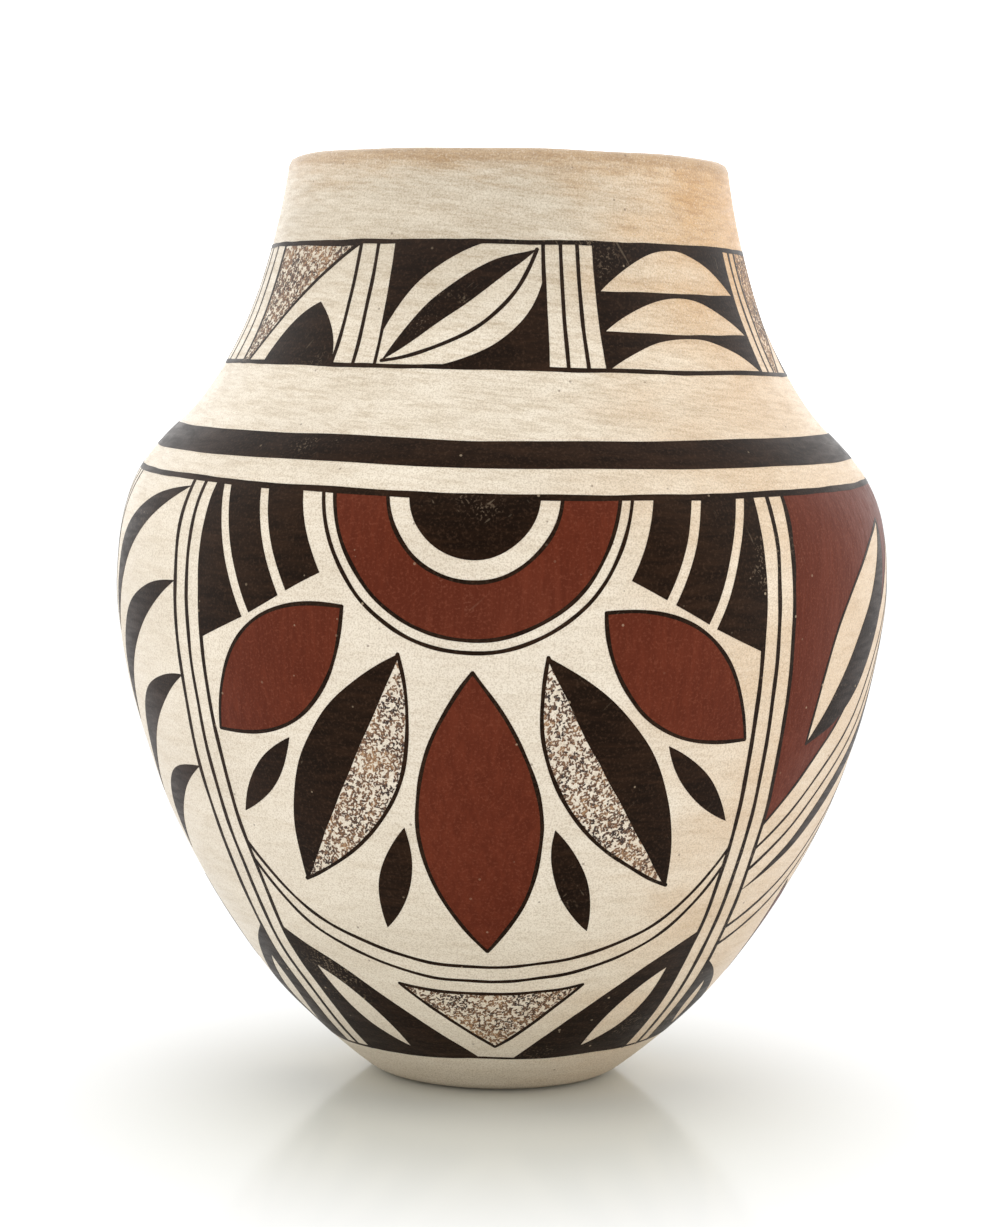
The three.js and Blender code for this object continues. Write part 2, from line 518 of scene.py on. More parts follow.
# The clay wall: one ring for each coil, closed, with its seams tight


def section_run(start, end):
    steps = max(2, round(abs(end - start) / ROW_STEP))
    return np.linspace(start, end, steps + 1)


def make_ring(node, runs):
    """A ring of wall. Its section goes along the runs of the surface, joined by flat seam faces."""
    turns = np.linspace(0, 2 * math.pi, TURN_STEPS, endpoint=False)
    step = np.arange(TURN_STEPS)
    after = (step + 1) % TURN_STEPS
    reaches = np.concatenate(runs)
    run_ends = np.cumsum([len(run) for run in runs]) - 1
    poles = (reaches <= 0) | (reaches >= SECTION_END)
    starts = np.concatenate([[0], np.cumsum(np.where(poles, 1, TURN_STEPS))])
    rows = [turns[:1] if pole else turns for pole in poles]
    points = np.concatenate([skin(row, reach) for row, reach in zip(rows, reaches)])
    ups = np.concatenate([skin_normals(row, np.full(len(row), reach)) for row, reach in zip(rows, reaches)])
    groups = []
    for row, start in enumerate(starts[:-1]):
        following = (row + 1) % len(reaches)
        onward = starts[following]
        if poles[row] and poles[following]:
            continue
        if poles[row]:
            corners = np.stack([np.full(TURN_STEPS, start), onward + after, onward + step], 1)
        elif poles[following]:
            corners = np.stack([start + step, start + after, np.full(TURN_STEPS, onward)], 1)
        else:
            corners = np.stack([start + step, start + after, onward + after, onward + step], 1)
        seam = row in run_ends
        groups.append(flat_group(points, corners) if seam else (corners, ups[corners]))
    inward = np.concatenate([np.full(len(row), max(0, reach - LIP_END)) for row, reach in zip(rows, reaches)])
    ring = make_piece(f"{node}_wall", points, groups, slip, inward)
    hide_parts(node)


def make_wall():
    names = [f"{zone}_coil_{number + 1}" for zone, count in COILS.items() for number in range(count)]
    coil = (WALL_WIDTH - RIM_COIL - PAT_WALL) / len(names)
    seams = [PAT_WALL + coil * number for number in range(len(names) + 1)]
    first = [section_run(0, WALL_START + PAT_WALL), section_run(inside_at(PAT_WALL - LAP), SECTION_END)]
    make_ring("base_pat", first)
    for name, low, high in zip(names, seams, seams[1:]):
        outside = section_run(WALL_START + low, WALL_START + high)
        inside = section_run(inside_at(high - LAP), inside_at(low - LAP))
        make_ring(name, [outside, inside])
    whole = section_run(WALL_START + seams[-1], inside_at(seams[-1] - LAP))
    make_ring("rim_coil", [whole])


make_wall()


# Painting. The wall is laid out flat, x round from the front at the layout radius and y up

LAYOUT_RADIUS = 100

# Widths of the brush lines, and how the hand's unsteadiness changes them
FINE_LINE = 1.12
DIVIDER_LINE = 1.45
NECK_FRAME_LINE = 1.35
BODY_TOP_LINE = 1.8
FOOT_LINE = 0.95
WAVER = 0.3
WAVER_PITCH = 13.0
PRESS = 0.28
PRESS_PITCH = 9.0
BAND_PRESS = 0.25
BAND_PRESS_PITCH = 11
BAND_SHAKE = 0.22
BAND_SHAKE_PITCH = 6
LINE_END_TURNS = (-60, 0, 60)

# How far the faces of the paint stand off the clay, from the hidden underside up
UNDER = -0.06
RED_LIFT = 0.05
STIPPLE_LIFT = 0.06
BLACK_LIFT = 0.08
DIVIDER_LIFT = 0.09
FRAME_LIFT = 0.10


def layout_x(angle):
    return math.radians(angle) * LAYOUT_RADIUS


def stretch_at(y):
    """Real millimetres round the jar for one in the layout."""
    return wall_radius(y) / LAYOUT_RADIUS


def waver(points, seed):
    """Moves points a little, all alike where they lie close, as a hand does."""
    pushes = [noise.noise_vector(Vector((x / WAVER_PITCH, y / WAVER_PITCH, seed))) for x, y in points]
    return points + WAVER * np.array(pushes)[:, :2]


def brush_line(path, width, seed):
    """The outline of one brush line along a path in the layout, with round ends."""
    x, y = path.T
    k = stretch_at(y)
    run = np.stack([np.gradient(x) * k, np.gradient(y)], 1)
    run /= np.hypot(*run.T)[:, None]
    side = np.stack([-run[:, 1], run[:, 0]], 1)
    press = np.array([noise.noise(Vector((a / PRESS_PITCH, b / PRESS_PITCH, seed + 40))) for a, b in path])
    half = (width / 2 * (1 + PRESS * press))[:, None]
    scale = np.stack([1 / k, np.ones_like(k)], 1)
    left = path + side * half * scale
    right = path - side * half * scale
    ends = []
    for at, sign in ((-1, 1), (0, -1)):
        for turn in map(math.radians, LINE_END_TURNS):
            way = sign * (run[at] * math.cos(turn) - side[at] * math.sin(turn))
            ends.append(path[at] + way * half[at] * scale[at])
    return np.concatenate([left, ends[:3], right[::-1], ends[3:]])


def inside_loop(points, loop):
    """Whether points lie in a closed loop, by counting the edges that a line from each crosses."""
    x, y = points[:, 0:1], points[:, 1:2]
    ax, ay = loop[:, 0], loop[:, 1]
    bx, by = np.roll(ax, -1), np.roll(ay, -1)
    crosses = (ay > y) != (by > y)
    rise = np.where(by == ay, 1e-12, by - ay)
    return (crosses & (x < (bx - ax) * (y - ay) / rise + ax)).sum(1) % 2 == 1


def inside_shape(points, loops):
    """Even-odd: inside the first loop and in none of its holes."""
    found = np.zeros(len(points), bool)
    low, high = loops[0].min(0), loops[0].max(0)
    near = np.all((points >= low) & (points <= high), 1)
    if near.any():
        odd = np.zeros(near.sum(), bool)
        for loop in loops:
            odd ^= inside_loop(points[near], loop)
        found[near] = odd
    return found


def inside_any(points, shapes):
    return np.any([inside_shape(points, loops) for loops in shapes], axis=0)


def net_points(shapes):
    """Inner points of the shapes on a regular net, so that a film can follow the wall."""
    corners = np.concatenate([loops[0] for loops in shapes])
    low, high = corners.min(0), corners.max(0)
    xs = np.arange(low[0] + FILM_NET / 2, high[0], FILM_NET)
    ys = np.arange(low[1] + FILM_NET / 2, high[1], FILM_NET)
    net = np.stack(np.meshgrid(xs, ys), -1).reshape(-1, 2)
    return net[inside_any(net, shapes)]


def make_film(name, shapes, lift, material):
    """One thin closed film over all the shapes, which may overlap."""
    flat, edges = [], []
    for loops in shapes:
        for loop in loops:
            start = len(flat)
            flat.extend(Vector(p) for p in loop)
            edges.extend((start + i, start + (i + 1) % len(loop)) for i in range(len(loop)))
    flat.extend(Vector(p) for p in net_points(shapes))
    net, _, triangles, *_ = delaunay_2d_cdt(flat, edges, [], 0, 1e-5)
    net = np.array([tuple(p) for p in net])
    triangles = np.array(triangles)
    kept = inside_any(net[triangles].mean(1), shapes)
    used, faces = np.unique(triangles[kept], return_inverse=True)
    faces = faces.reshape(-1, 3)
    sides = np.concatenate([faces[:, [0, 1]], faces[:, [1, 2]], faces[:, [2, 0]]]).tolist()
    known = set(map(tuple, sides))
    rim = np.array([(a, b) for a, b in sides if (b, a) not in known])
    make_shell(name, net[used], lift, faces, rim, material)


def make_shell(name, net, lift, faces, rim, material):
    """Faces over points of the layout, the same faces underneath, and walls along the edges of the rim."""
    turn, reach = net[..., 0] / LAYOUT_RADIUS, WALL_START + net[..., 1]
    points = np.concatenate([skin(turn, reach, height).reshape(-1, 3) for height in (lift, UNDER)])
    up = skin_normals(turn, reach).reshape(-1, 3)
    under, below = faces[:, ::-1], len(up)
    walls = np.stack([rim[:, 1], rim[:, 0], rim[:, 0] + below, rim[:, 1] + below], 1)
    groups = [(faces, up[faces]), (under + below, -up[under]), flat_group(points, walls)]
    make_piece(name, points, groups, material)


def make_bands(name, bands, rows):
    """Black bands right round the jar, each between two heights at every angle."""
    turns = np.linspace(-math.pi, math.pi, TURN_STEPS, endpoint=False)
    angles = np.degrees(turns)
    step = np.arange(TURN_STEPS)
    after = (step + 1) % TURN_STEPS
    size = (rows + 1) * TURN_STEPS
    points, ups, faces, sides = [], [], [], []
    for number, (low, high) in enumerate(bands):
        share = np.linspace(0, 1, rows + 1)[:, None]
        reach = WALL_START + low(angles)[None] * (1 - share) + high(angles)[None] * share
        turn = np.broadcast_to(turns, reach.shape)
        up = skin_normals(turn, reach).reshape(-1, 3)
        points += [skin(turn, reach, height).reshape(-1, 3) for height in (FRAME_LIFT, UNDER)]
        ups += [up, -up]
        start = 2 * size * number
        for row in range(rows):
            a = start + row * TURN_STEPS
            face = np.stack([a + step, a + after, a + after + TURN_STEPS, a + step + TURN_STEPS], 1)
            faces += [face, face[:, ::-1] + size]
        low_row, high_row = start, start + rows * TURN_STEPS
        for a, b in ((low_row + after, low_row + step), (high_row + step, high_row + after)):
            sides.append(np.stack([a, b, b + size, a + size], 1))
    points, ups = np.concatenate(points), np.concatenate(ups)
    faces, sides = np.concatenate(faces), np.concatenate(sides)
    make_piece(name, points, [(faces, ups[faces]), flat_group(points, sides)], black)


# Heights of the painted frame, up the wall. No line drawn by hand is quite level


def round_noise(angle, pitch, seed):
    """Smooth noise round the jar, which meets itself at the back."""
    turns = np.atleast_1d(np.radians(angle))
    found = [noise.noise(Vector((math.sin(t) * pitch, math.cos(t) * pitch, seed))) for t in turns]
    return np.array(found).reshape(np.shape(angle))


def tilted(level, front, side, twice, seed):
    """A height that varies round the jar: higher or lower in front, to one side and at both ends."""
    def height(angle):
        turn = np.radians(angle)
        found = level + front * np.cos(turn) + side * np.sin(turn) + twice * np.cos(2 * turn)
        return found + BAND_SHAKE * round_noise(angle, BAND_SHAKE_PITCH, seed)
    return height


neck_top = tilted(286.8, 0.1, 0.2, 0.1, 1)
neck_bottom = tilted(248.4, 0.1, -0.7, -0.1, 2)
stripe_top = tilted(224.7, -0.4, 0.0, -1.2, 3)
stripe_bottom = tilted(215.0, -0.5, -0.5, -1.1, 4)
body_top = tilted(206.7, -1.0, -0.6, -1.4, 5)
body_bottom = tilted(18.0, -1.0, 1.7, 0.0, 6)


def line_band(height, width, seed):
    """The lower and upper edge of a line at a height."""
    def edge(side):
        def at(angle):
            press = BAND_PRESS * round_noise(angle, BAND_PRESS_PITCH, seed)
            return height(angle) + side * width / 2 * (1 + press)
        return at
    return edge(-1), edge(1)


make_bands("frame_lines", [
    line_band(neck_top, NECK_FRAME_LINE, 21),
    line_band(neck_bottom, NECK_FRAME_LINE, 22),
    line_band(body_top, BODY_TOP_LINE, 23),
    line_band(body_bottom, FOOT_LINE, 24),
], rows=1)
make_bands("shoulder_stripe", [(stripe_bottom, stripe_top)], rows=5)


class Panel:
    """A field of the painting. In it u goes from -1 to 1, left to right, and v from 0 to 1, foot to top."""

    def __init__(self, left, right, bottom, top, seed):
        self.left, self.right, self.bottom, self.top, self.seed = left, right, bottom, top, seed
        self.black, self.red, self.stipple = [], [], []
        marks = self.spot(np.array([-1, 1, 0, 0]), np.array([0.5, 0.5, 0, 1]))
        (start, level), (end, _), (_, low), (_, high) = marks
        self.size = np.array([(end - start) * stretch_at(level) / 2, high - low])

    def place(self, marks):
        return self.spot(*np.array(marks, float).T)

    def spot(self, u, v):
        left, right = self.left(v), self.right(v)
        x = left + (right - left) * (u + 1) / 2
        angle = np.degrees(x / LAYOUT_RADIUS)
        low, high = self.bottom(angle), self.top(angle)
        return np.stack([x, low + (high - low) * v], 1)

    def edge(self, start, end):
        """Points from one corner towards the next. A third number is the bow of that edge, to its left."""
        bow = start[2] if len(start) > 2 else 0.0
        a, b = np.array(start[:2], float), np.array(end[:2], float)
        span = self.place([a, b])
        steps = max(2, math.ceil(math.hypot(*(span[1] - span[0])) * (1 + abs(bow)) / BRUSH_STEP))
        share = np.linspace(0, 1, steps + 1)
        run = (b - a) * self.size
        lean = np.array([-run[1], run[0]]) / self.size
        marks = a + (b - a) * share[:, None] + lean * (bow * 4 * share * (1 - share))[:, None]
        return self.place(marks)

    def loop(self, corners):
        edges = [self.edge(a, b)[:-1] for a, b in zip(corners, corners[1:] + corners[:1])]
        return waver(np.concatenate(edges), self.seed)

    def paint(self, colour, corners, *holes):
        """Fills a shape but not its holes, and outlines it where the colour isn't black."""
        colour.append([self.loop(corners), *[self.loop(hole) for hole in holes]])
        if colour is not self.black:
            for loop in (corners, *holes):
                self.line(*loop, loop[0])

    def line(self, *corners):
        for a, b in zip(corners, corners[1:]):
            path = waver(self.edge(a, b), self.seed)
            self.black.append([brush_line(path, FINE_LINE, self.seed)])

    def in_red(self, corners, *holes):
        self.paint(self.red, corners, *holes)

    def in_black(self, corners, *holes):
        self.paint(self.black, corners, *holes)

    def in_stipple(self, corners, *holes):
        self.paint(self.stipple, corners, *holes)


class MeasuredPanel(Panel):
    """A panel with marks in millimetres from the middle of its foot line."""

    def __init__(self, *edges, seed):
        super().__init__(*edges, seed)
        self.height = self.size[1]
        self.size = np.ones(2)

    def half_width(self, y):
        v = np.atleast_1d(y) / self.height
        low, high = self.spot(-np.ones_like(v), v), self.spot(np.ones_like(v), v)
        return (high[:, 0] - low[:, 0]) / 2 * stretch_at((low[:, 1] + high[:, 1]) / 2)

    def edge_at(self, y):
        """The mark where the right side is at a height."""
        return float(self.half_width(y)[0]), y

    def share(self, u, v, *bow):
        """The mark at shares of the panel, as in a plain panel."""
        x, y = self.edge_at(v * self.height)
        return u * x, y, *bow

    def place(self, marks):
        x, y = np.array(marks, float).T
        return self.spot(x / self.half_width(y), y / self.height)


def facing(side, corners):
    """Corners for the right half, or turned over for the left."""
    return [(side * x, y, *(side * b for b in bow)) for x, y, *bow in corners]


# Dabs stand in slanting rows. Each is moved, turned, sized, bent and lifted by chance
DAB_PITCH = 0.72
DAB_ROW_PITCH = 0.52
DAB_SLANT = 62
DAB_SHIFT_ALONG = 0.5
DAB_SHIFT_ACROSS = 0.35
DAB_TURN = 1.2
DAB_HALF_LENGTHS = (0.25, 0.7)
DAB_WIDTHS = (0.36, 0.68)
DAB_BEND = 0.3
DAB_LIFT = 0.015
CLUMP_PITCH = 3.1
LEFT_OUT_BETWEEN_CLUMPS = 0.9

# Two sides and two blunt ends round three points, as shares of half length, bend and half width
DAB_CORNERS = np.array([
    (-1, 0, -0.7), (0, 1, -1), (1, -0.6, -0.7), (1.15, -0.6, 0),
    (1, -0.6, 0.7), (0, 1, 1), (-1, 0, 0.7), (-1.15, 0, 0),
])


def dab_outlines(field, rng):
    """Outlines of short crooked dabs over a field's whole box, as (count, corners, 2)."""
    low, high = field[0].min(0), field[0].max(0)
    middle, span = (low + high) / 2, np.hypot(*(high - low))
    slant = math.radians(DAB_SLANT)
    along = np.array([math.cos(slant), math.sin(slant)])
    across = np.array([-along[1], along[0]])
    steps = [np.arange(-span / 2, span / 2, pitch) for pitch in (DAB_ROW_PITCH, DAB_PITCH)]
    rows, places = np.meshgrid(*steps)
    count = rows.size
    places = places.ravel() + rng.uniform(-DAB_SHIFT_ALONG, DAB_SHIFT_ALONG, count)
    rows = rows.ravel() + rng.uniform(-DAB_SHIFT_ACROSS, DAB_SHIFT_ACROSS, count)
    centres = middle + (places[:, None] * along + rows[:, None] * across) / (stretch_at(middle[1]), 1)
    heading = slant + rng.uniform(-DAB_TURN, DAB_TURN, count)
    half = rng.uniform(*DAB_HALF_LENGTHS, count)
    width = rng.uniform(*DAB_WIDTHS, count) / 2
    bend = rng.uniform(-DAB_BEND, DAB_BEND, count)
    ahead = DAB_CORNERS[:, 0] * half[:, None]
    aside = DAB_CORNERS[:, 1] * bend[:, None] + DAB_CORNERS[:, 2] * width[:, None]
    turn_x, turn_y = np.cos(heading)[:, None], np.sin(heading)[:, None]
    scale = 1 / stretch_at(centres[:, 1])
    x = (ahead * turn_x - aside * turn_y) * scale[:, None]
    outlines = np.stack([x, ahead * turn_y + aside * turn_x], -1)
    clump = 0.5 + 0.25 * (np.cos(math.tau * rows / CLUMP_PITCH) + np.cos(math.tau * places / CLUMP_PITCH))
    return (outlines + centres[:, None])[rng.random(count) > LEFT_OUT_BETWEEN_CLUMPS * (1 - clump)]


def make_stipple(name, fields, seed):
    """Short crooked dabs kept inside the fields, each a thin closed solid."""
    rng = np.random.default_rng(seed)
    dabs = []
    for field in fields:
        outlines = dab_outlines(field, rng)
        kept = inside_shape(outlines.reshape(-1, 2), field).reshape(outlines.shape[:2]).all(1)
        dabs.append(outlines[kept])
    dabs = np.concatenate(dabs)
    count, corners = dabs.shape[:2]
    lift = STIPPLE_LIFT + rng.uniform(-DAB_LIFT, DAB_LIFT, (count, 1))
    faces = np.arange(count * corners).reshape(count, corners)
    rim = np.stack([faces, np.roll(faces, -1, axis=1)], -1).reshape(-1, 2)
    make_shell(name, dabs, lift, faces, rim, brown)


# The neck band: panels between groups of upright lines

NARROW_GAP = 10
MOON_HALF_WIDTH = 0.96
MOON_HEIGHTS = [(0.02, 0.285), (0.315, 0.6), (0.635, 0.965)]


def half_moons(panel):
    """Three pale half-moons with their flat sides down, one above the other, in a black field."""
    moons = []
    for base, top in MOON_HEIGHTS:
        bow = (top - base) * panel.size[1] / (2 * MOON_HALF_WIDTH * panel.size[0])
        moons.append([(-MOON_HALF_WIDTH, base), (MOON_HALF_WIDTH, base, -bow)])
    panel.in_black([(-1, 0), (1, 0), (1, 1), (-1, 1)], *moons)


def split_leaf(panel):
    """A leaf across a pale field, black on one side of its spine, between two black corners."""
    panel.in_black([(-1, 1), (-1, 0.26, 0.14), (0.3, 1)])
    panel.in_black([(1, 0), (1, 0.74, 0.14), (-0.3, 0)])
    panel.in_black([(-0.92, 0.05, 0.14), (0.92, 0.95)])
    panel.line((-0.92, 0.05, -0.14), (0.92, 0.95))


def hill(panel):
    """A stippled sky over a pale slope, with a black hill in the corner."""
    panel.in_stipple([(-1, 0), (-0.82, 0, 0.07), (0.95, 0.98), (-1, 1)])
    panel.in_black([(-0.35, 0, 0.12), (0.45, 0.52, 0.1), (1, 0)])


# Each panel's design, and the angles of its left and right edge
NECK_PANELS = [
    (half_moons, 19.8, 61.5),
    (hill, 69, 103),
    (split_leaf, 112, 146),
    (half_moons, 157, 198),
    (hill, 206, 238),
    (half_moons, 246, 278),
    (hill, 294.5, 324.4),
    (split_leaf, 334, 368.1),
]


def upright(angle):
    """The layout x of an upright edge, at any height."""
    return lambda v: layout_x(angle)


def paint_neck():
    blacks, stipples = [], []
    starts = [start for _, start, _ in NECK_PANELS]
    following = starts[1:] + [starts[0] + 360]
    for number, ((draw, start, end), next_start) in enumerate(zip(NECK_PANELS, following)):
        panel = Panel(upright(start), upright(end), neck_bottom, neck_top, seed=50 + number)
        draw(panel)
        gap = next_start - end
        count = 3 if gap < NARROW_GAP else 4
        for line in range(count):
            angle = end + gap * line / (count - 1)
            u = -1 + 2 * (angle - start) / (end - start)
            panel.line((u, 0.0), (u, 1.0))
        blacks += panel.black
        stipples += panel.stipple
    make_film("neck_black", blacks, BLACK_LIFT, black)
    make_stipple("neck_stipple", stipples, 60)


paint_neck()


# The body: four panels between triple lines, which have an angle and a lean at the foot

DIVIDERS = [(-49.4, -1.6), (41.4, 11.0), (131.0, 3.0), (221.0, -4.0)]
DIVIDER_GAP = 6.1
DIVIDER_SPAN = (18, 206.5)


def divider_x(number, side):
    """The layout x of a line of a divider: its middle line, or the one on either side."""
    angle, lean = DIVIDERS[number % len(DIVIDERS)]
    angle += 360 * (number // len(DIVIDERS))

    def x(v):
        shift = side * DIVIDER_GAP / stretch_at(np.interp(v, [0, 1], DIVIDER_SPAN))
        return layout_x(angle) + layout_x(1) * lean * (1 - v) ** 2 + shift
    return x


# The front and back design, in millimetres from the middle of the panel's top line
FAN_DISC = 18
FAN_RING = (24, 40)
FAN_LINE = 43.5
FAN_START = 49
FAN_ARC_STEP = 30
CORNER_ARCS = [(50, 62), (65, 77)]
CORNER_OUTER_ARC = 80
CORNER_ANGLE = 62
CORNER_DEPTH = 45

# Leaves have an angle, the distance of the tip and a width. Darts have an angle and two distances
MIDDLE_LEAF = (0, 138, 35)
RED_LEAF = (49, 108, 30)
SPLIT_LEAF = (25, 128, 30)
DARTS = [(12.5, 98, 134), (38, 90, 122)]
DART_BOW = 0.13

# At the foot: the swag, the triangle, and the corners with their slits
SWAG_HEIGHTS = (76, 82)
SWAG_SAG = 39
SWAG_BOW = 0.12
FOOT_TRIANGLE = [(-27, 35, -0.06), (27, 35), (0, 6)]
CORNER_TIP = (5, 0)
CORNER_BOW = -0.05
SLIT_START = (26, 5)
SLIT_SHARE = 0.73
SLIT_GAP = 6
SLIT_BOW = 0.08

# The side design. The slanting lines and the crescents are in shares of the panel
RED_FIELD_FOOT = 0.47
SLANTS = [(0.425, 0.09, -0.04), (0.385, 0.16, -0.05), (0.27, 0.36, -0.1), (0.235, 0.43, -0.1)]
CRESCENTS = [(0.985, 0.36, 0.25), (0.84, 0.36, 0.25), (0.695, 0.42, 0.22), (0.55, 0.52, 0.17)]
TALL_LEAF = [(0, 14), (0, 98)]
TALL_LEAF_BOW = 0.15
LOW_LEAF = [(9, 22, 0.15), (28, 62, 0.15)]


def fan_spot(panel, angle, reach):
    """A mark at an angle from straight down and a distance from the fan's middle."""
    turn = math.radians(angle)
    return reach * math.sin(turn), panel.height - reach * math.cos(turn)


def fan_arc(panel, reach, start, end):
    """Corners along an arc round the fan's middle, with the bow of the edge that leaves each."""
    count = math.ceil(abs(end - start) / FAN_ARC_STEP)
    step = (end - start) / count
    bow = -math.tan(math.radians(step) / 4) / 2
    arc = [(*fan_spot(panel, start + step * number, reach), bow) for number in range(count)]
    return [*arc, fan_spot(panel, end, reach)]


def fan_leaf(panel, leaf, side=1, bows=(1, 1)):
    """A leaf along a ray of the fan. Each of its two sides bows out, bows in, or is straight."""
    angle, tip, width = leaf
    bow = width / 2 / (tip - FAN_START)
    return [(*fan_spot(panel, side * angle, reach), bow * way) for reach, way in zip((FAN_START, tip), bows)]


def corner_arcs(panel, side):
    """Dark arcs round the fan, in a top corner of the panel."""
    for low, high in CORNER_ARCS:
        corners = fan_arc(panel, low, CORNER_ANGLE, 90) + fan_arc(panel, high, 90, CORNER_ANGLE)
        panel.in_black(facing(side, corners))
    wall = [panel.edge_at(panel.height - drop) for drop in np.linspace(0, CORNER_DEPTH, 6)]
    panel.in_black(facing(side, fan_arc(panel, CORNER_OUTER_ARC, CORNER_ANGLE, 90) + wall))


def foot_corner(panel, side, top):
    """A dark corner at the foot, up to a height at the panel's side, with a pale slit."""
    wall = [panel.edge_at(y) for y in np.linspace(0, top, 5)]
    x, y = panel.edge_at(SLIT_SHARE * top)
    slit = [(*SLIT_START, SLIT_BOW), (x - SLIT_GAP, y, SLIT_BOW)]
    panel.in_black(facing(side, [CORNER_TIP, *wall[:-1], (*wall[-1], CORNER_BOW)]), facing(side, slit))


def front_design(panel):
    """A half-round hung from the top, a fan of leaves round it, and a swag over dark corners."""
    panel.in_black(fan_arc(panel, FAN_DISC, -90, 90))
    panel.in_red(fan_arc(panel, FAN_RING[0], -90, 90) + fan_arc(panel, FAN_RING[1], 90, -90))
    panel.line(*fan_arc(panel, FAN_LINE, -90, 90))
    panel.in_red(fan_leaf(panel, MIDDLE_LEAF))
    for side in (-1, 1):
        panel.in_red(fan_leaf(panel, RED_LEAF, side))
        panel.in_black(fan_leaf(panel, SPLIT_LEAF, side, (side, 0)))
        panel.in_stipple(fan_leaf(panel, SPLIT_LEAF, side, (-side, 0)))
        for angle, *ends in DARTS:
            panel.in_black([(*fan_spot(panel, side * angle, end), DART_BOW) for end in ends])
        corner_arcs(panel, side)
        foot_corner(panel, side, 52)
        for height in SWAG_HEIGHTS:
            x, y = panel.edge_at(height)
            panel.line(*facing(side, [(x, y, SWAG_BOW), (0, y - SWAG_SAG)]))
    panel.in_stipple(FOOT_TRIANGLE)


def side_design(panel):
    """A red field with a split leaf, slanting lines, crescents at the right and leaves at the foot."""
    at = panel.share
    wall = [at(-1, v) for v in np.linspace(1, RED_FIELD_FOOT, 8)]
    panel.in_red([*wall, at(0.02, 1)], [at(-0.84, 0.6, 0.2), at(-0.3, 0.94, 0.2)])
    panel.in_black([at(-0.84, 0.6, -0.2), at(-0.3, 0.94)])
    for low, high, bow in SLANTS:
        panel.line(at(-1, low, bow), at(high, 1))
    panel.in_black([at(-1, 0.345, -0.11), at(0.23, 1, 0.05)])
    for tip, inner, drop in CRESCENTS:
        panel.in_black([at(1, tip, -0.19), at(inner, tip - drop, 0.05)])
    foot, top = TALL_LEAF
    panel.in_black([(*foot, TALL_LEAF_BOW), top])
    panel.in_stipple([(*foot, -TALL_LEAF_BOW), top])
    for side in (-1, 1):
        panel.in_red(facing(side, LOW_LEAF))
    foot_corner(panel, -1, 38)
    foot_corner(panel, 1, 52)


def paint_body():
    designs = {"front": front_design, "right": side_design, "back": front_design, "left": side_design}
    reds, fronts, backs = [], [], []
    for number, (name, draw) in enumerate(designs.items()):
        left, right = divider_x(number, 1), divider_x(number + 1, -1)
        panel = MeasuredPanel(left, right, body_bottom, body_top, seed=70 + number)
        draw(panel)
        make_film(f"{name}_panel_black", panel.black, BLACK_LIFT, black)
        reds += panel.red
        fields = fronts if name in ("front", "left") else backs
        fields.extend(panel.stipple)
    make_film("body_red", reds, RED_LIFT, red)
    make_stipple("front_stipple", fronts, 85)
    make_stipple("back_stipple", backs, 84)


def paint_dividers():
    lines = []
    v = np.linspace(0, 1, 120)
    for number in range(len(DIVIDERS)):
        left, right = divider_x(number, -1), divider_x(number, 1)
        strip = Panel(left, right, body_bottom, body_top, seed=90 + number)
        for side in (-1, 0, 1):
            path = waver(strip.spot(np.full_like(v, side), v), 90 + side)
            lines.append([brush_line(path, DIVIDER_LINE, strip.seed)])
    make_film("body_dividers", lines, DIVIDER_LIFT, black)


paint_body()
paint_dividers()


# Floor, light and camera

FLOOR_HALF = 6.0
FLOOR_COLOUR = srgb("d9dad4")
FLOOR_GLOSS = 0.28
FLOOR_WHITE = 1.1

# The floor is shaded round the jar and a little before it. It turns to white between two distances
SHADED_STRETCH = (1.2, 1, 1)
SHADED_SHIFT = (0, 0.05, 0)
WHITE_BLEND = (0.05, 0.225)

# The white that is seen behind the jar, and the room's light at two depths, in front and behind
OVEREXPOSED = 2.0
ROOM_DEPTHS = (-0.3, 1.0)
ROOM_LIGHT = (0.47, 1.85)

# Place, size, power and colour of each soft box. It faces the jar's axis, no higher than this
LIT_HEIGHT = 0.15
LIGHTS = {
    "left_box": ((-0.95, -0.25, 0.45), (0.9, 1.3), 3.5, (1, 0.965, 0.88)),
    "right_box": ((0.95, -0.25, 0.45), (0.9, 1.3), 4.6, (1, 0.965, 0.885)),
    "top_box": ((0, -0.45, 1.2), (1.6, 1.2), 5.4, (1, 1, 0.98)),
    "low_box": ((0, -0.75, 0.07), (1.0, 0.12), 1.0, (1, 0.98, 0.95)),
}
GLOW = {"Threshold": 0.9, "Strength": 0.16, "Size": 0.45}

# The photograph's view. The focal length is in pixels of its long side
PHOTO_LONG_SIDE = 1227
FOCAL_PIXELS = 3200
SENSOR = 36
EYE = (-0.0003, -0.98529, 0.21919)
LOOK_DOWN = 4.509
ROLL = 1.0


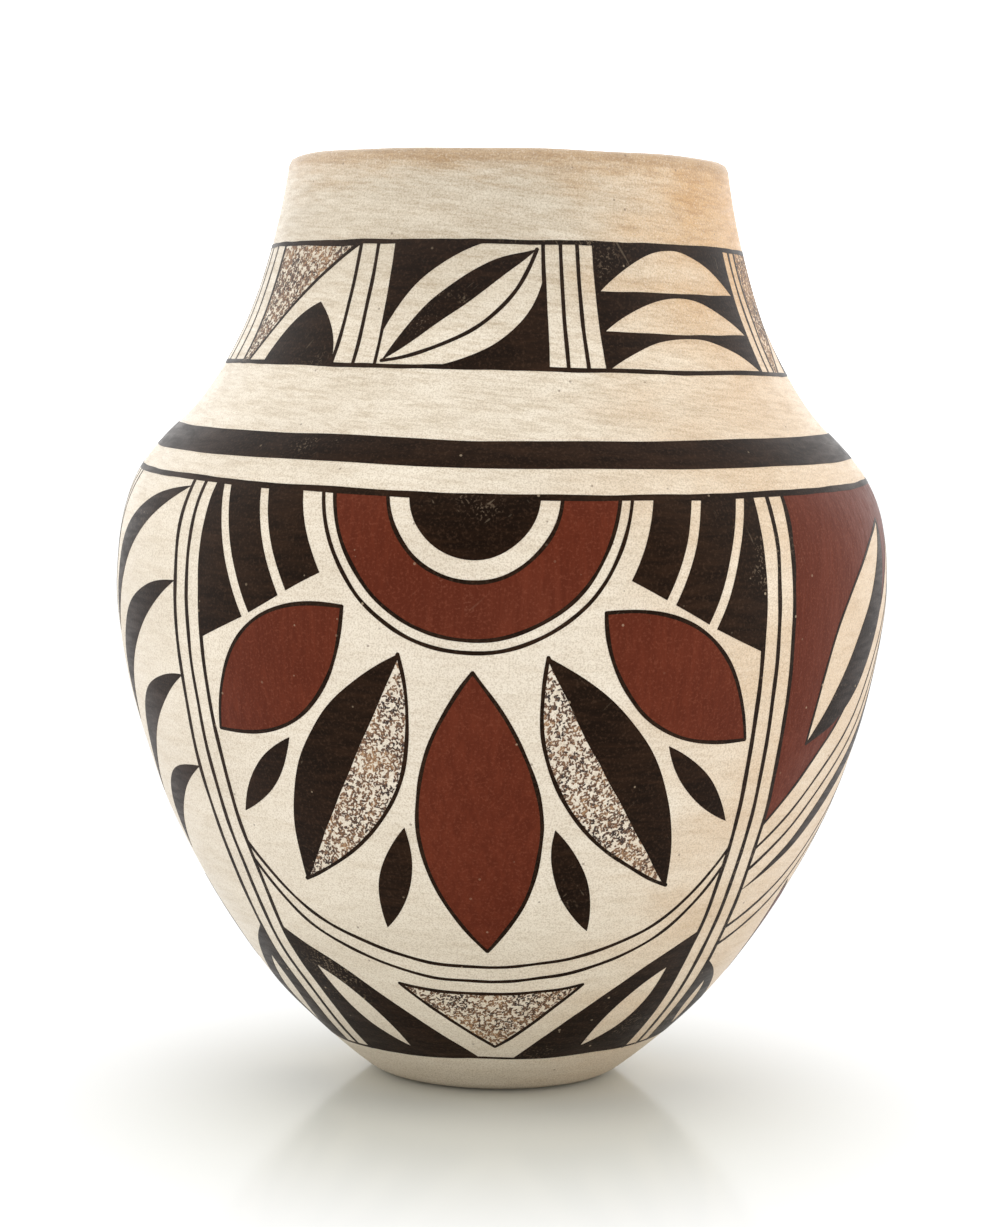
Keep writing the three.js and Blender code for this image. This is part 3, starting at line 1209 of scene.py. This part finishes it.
def make_floor():
    """A pale floor, mostly matt, which turns to plain white away from the jar."""
    corners = [(x * FLOOR_HALF, y * FLOOR_HALF, 0) for x, y in ((-1, -1), (1, -1), (1, 1), (-1, 1))]
    mesh = bpy.data.meshes.new("floor")
    mesh.from_pydata(corners, [], [(0, 1, 2, 3)])
    n = Nodes(bpy.data.materials.new("pale_floor"))
    shaded = {0: n.place, 1: SHADED_STRETCH, 2: SHADED_SHIFT}
    from_shade = n.add("VectorMath", shaded, operation="MULTIPLY_ADD").outputs[0]
    distance = n.add("VectorMath", {0: from_shade}, operation="LENGTH").outputs["Value"]
    glossy = n.shade({"Base Color": FLOOR_COLOUR, "Roughness": 0.12, "IOR": 1.9})
    matt = n.add("BsdfDiffuse", {"Color": FLOOR_COLOUR}).outputs[0]
    white = n.add("Emission", {"Color": WHITE, "Strength": FLOOR_WHITE}).outputs[0]
    mixed = n.blend(n.remap(distance, *WHITE_BLEND), n.blend(FLOOR_GLOSS, matt, glossy), white)
    n.feed(n.tree.nodes["Material Output"].inputs["Surface"], mixed)
    mesh.materials.append(n.owner)
    put("floor", mesh)


def make_world():
    """White to look at. As light, a room that is bright behind and dim in front."""
    n = Nodes(bpy.data.worlds.new("studio"), "Generated")
    scene.world = n.owner
    depth = n.add("SeparateXYZ", {"Vector": n.place}).outputs["Y"]
    light = n.remap(depth, *ROOM_DEPTHS, *ROOM_LIGHT, kind="LINEAR")
    room = n.shade({"Color": WHITE, "Strength": light}, "Background")
    seen = n.add("Background", {"Color": WHITE, "Strength": OVEREXPOSED}).outputs[0]
    looked_at = n.add("LightPath").outputs["Is Camera Ray"]
    n.feed(n.tree.nodes["World Output"].inputs["Surface"], n.blend(looked_at, room, seen))


def make_light(name, place, size, power, colour):
    data = bpy.data.lights.new(name, "AREA")
    data.shape = "RECTANGLE"
    data.size, data.size_y = size
    data.energy = power
    data.color = colour
    lamp = put(name, data)
    lamp.location = place
    towards = Vector((0, 0, min(place[2], LIT_HEIGHT))) - Vector(place)
    lamp.rotation_euler = towards.to_track_quat("-Z", "Y").to_euler()


def make_haze():
    """The white background spills a little over the jar's edges."""
    scene.use_nodes = True
    nodes, links = scene.node_tree.nodes, scene.node_tree.links
    nodes.clear()
    picture, glow, output = (nodes.new("CompositorNode" + kind) for kind in ("RLayers", "Glare", "Composite"))
    glow.glare_type = "BLOOM"
    for name, value in GLOW.items():
        glow.inputs[name].default_value = value
    links.new(picture.outputs["Image"], glow.inputs["Image"])
    links.new(glow.outputs["Image"], output.inputs["Image"])


def make_camera():
    """A long lens a little above the shoulder, held a degree off level."""
    data = bpy.data.cameras.new("camera")
    data.sensor_width = SENSOR
    data.lens = FOCAL_PIXELS / PHOTO_LONG_SIDE * SENSOR
    data.clip_start, data.clip_end = 0.01, 50
    camera = put("camera", data)
    pitch, roll = math.radians(90 - LOOK_DOWN), math.radians(ROLL)
    turn = Matrix.Rotation(pitch, 4, "X") @ Matrix.Rotation(roll, 4, "Z")
    camera.matrix_world = Matrix.Translation(EYE) @ turn
    scene.camera = camera


make_floor()
make_world()
for name, settings in LIGHTS.items():
    make_light(name, *settings)
make_haze()
make_camera()
scene.view_settings.view_transform = "Standard"
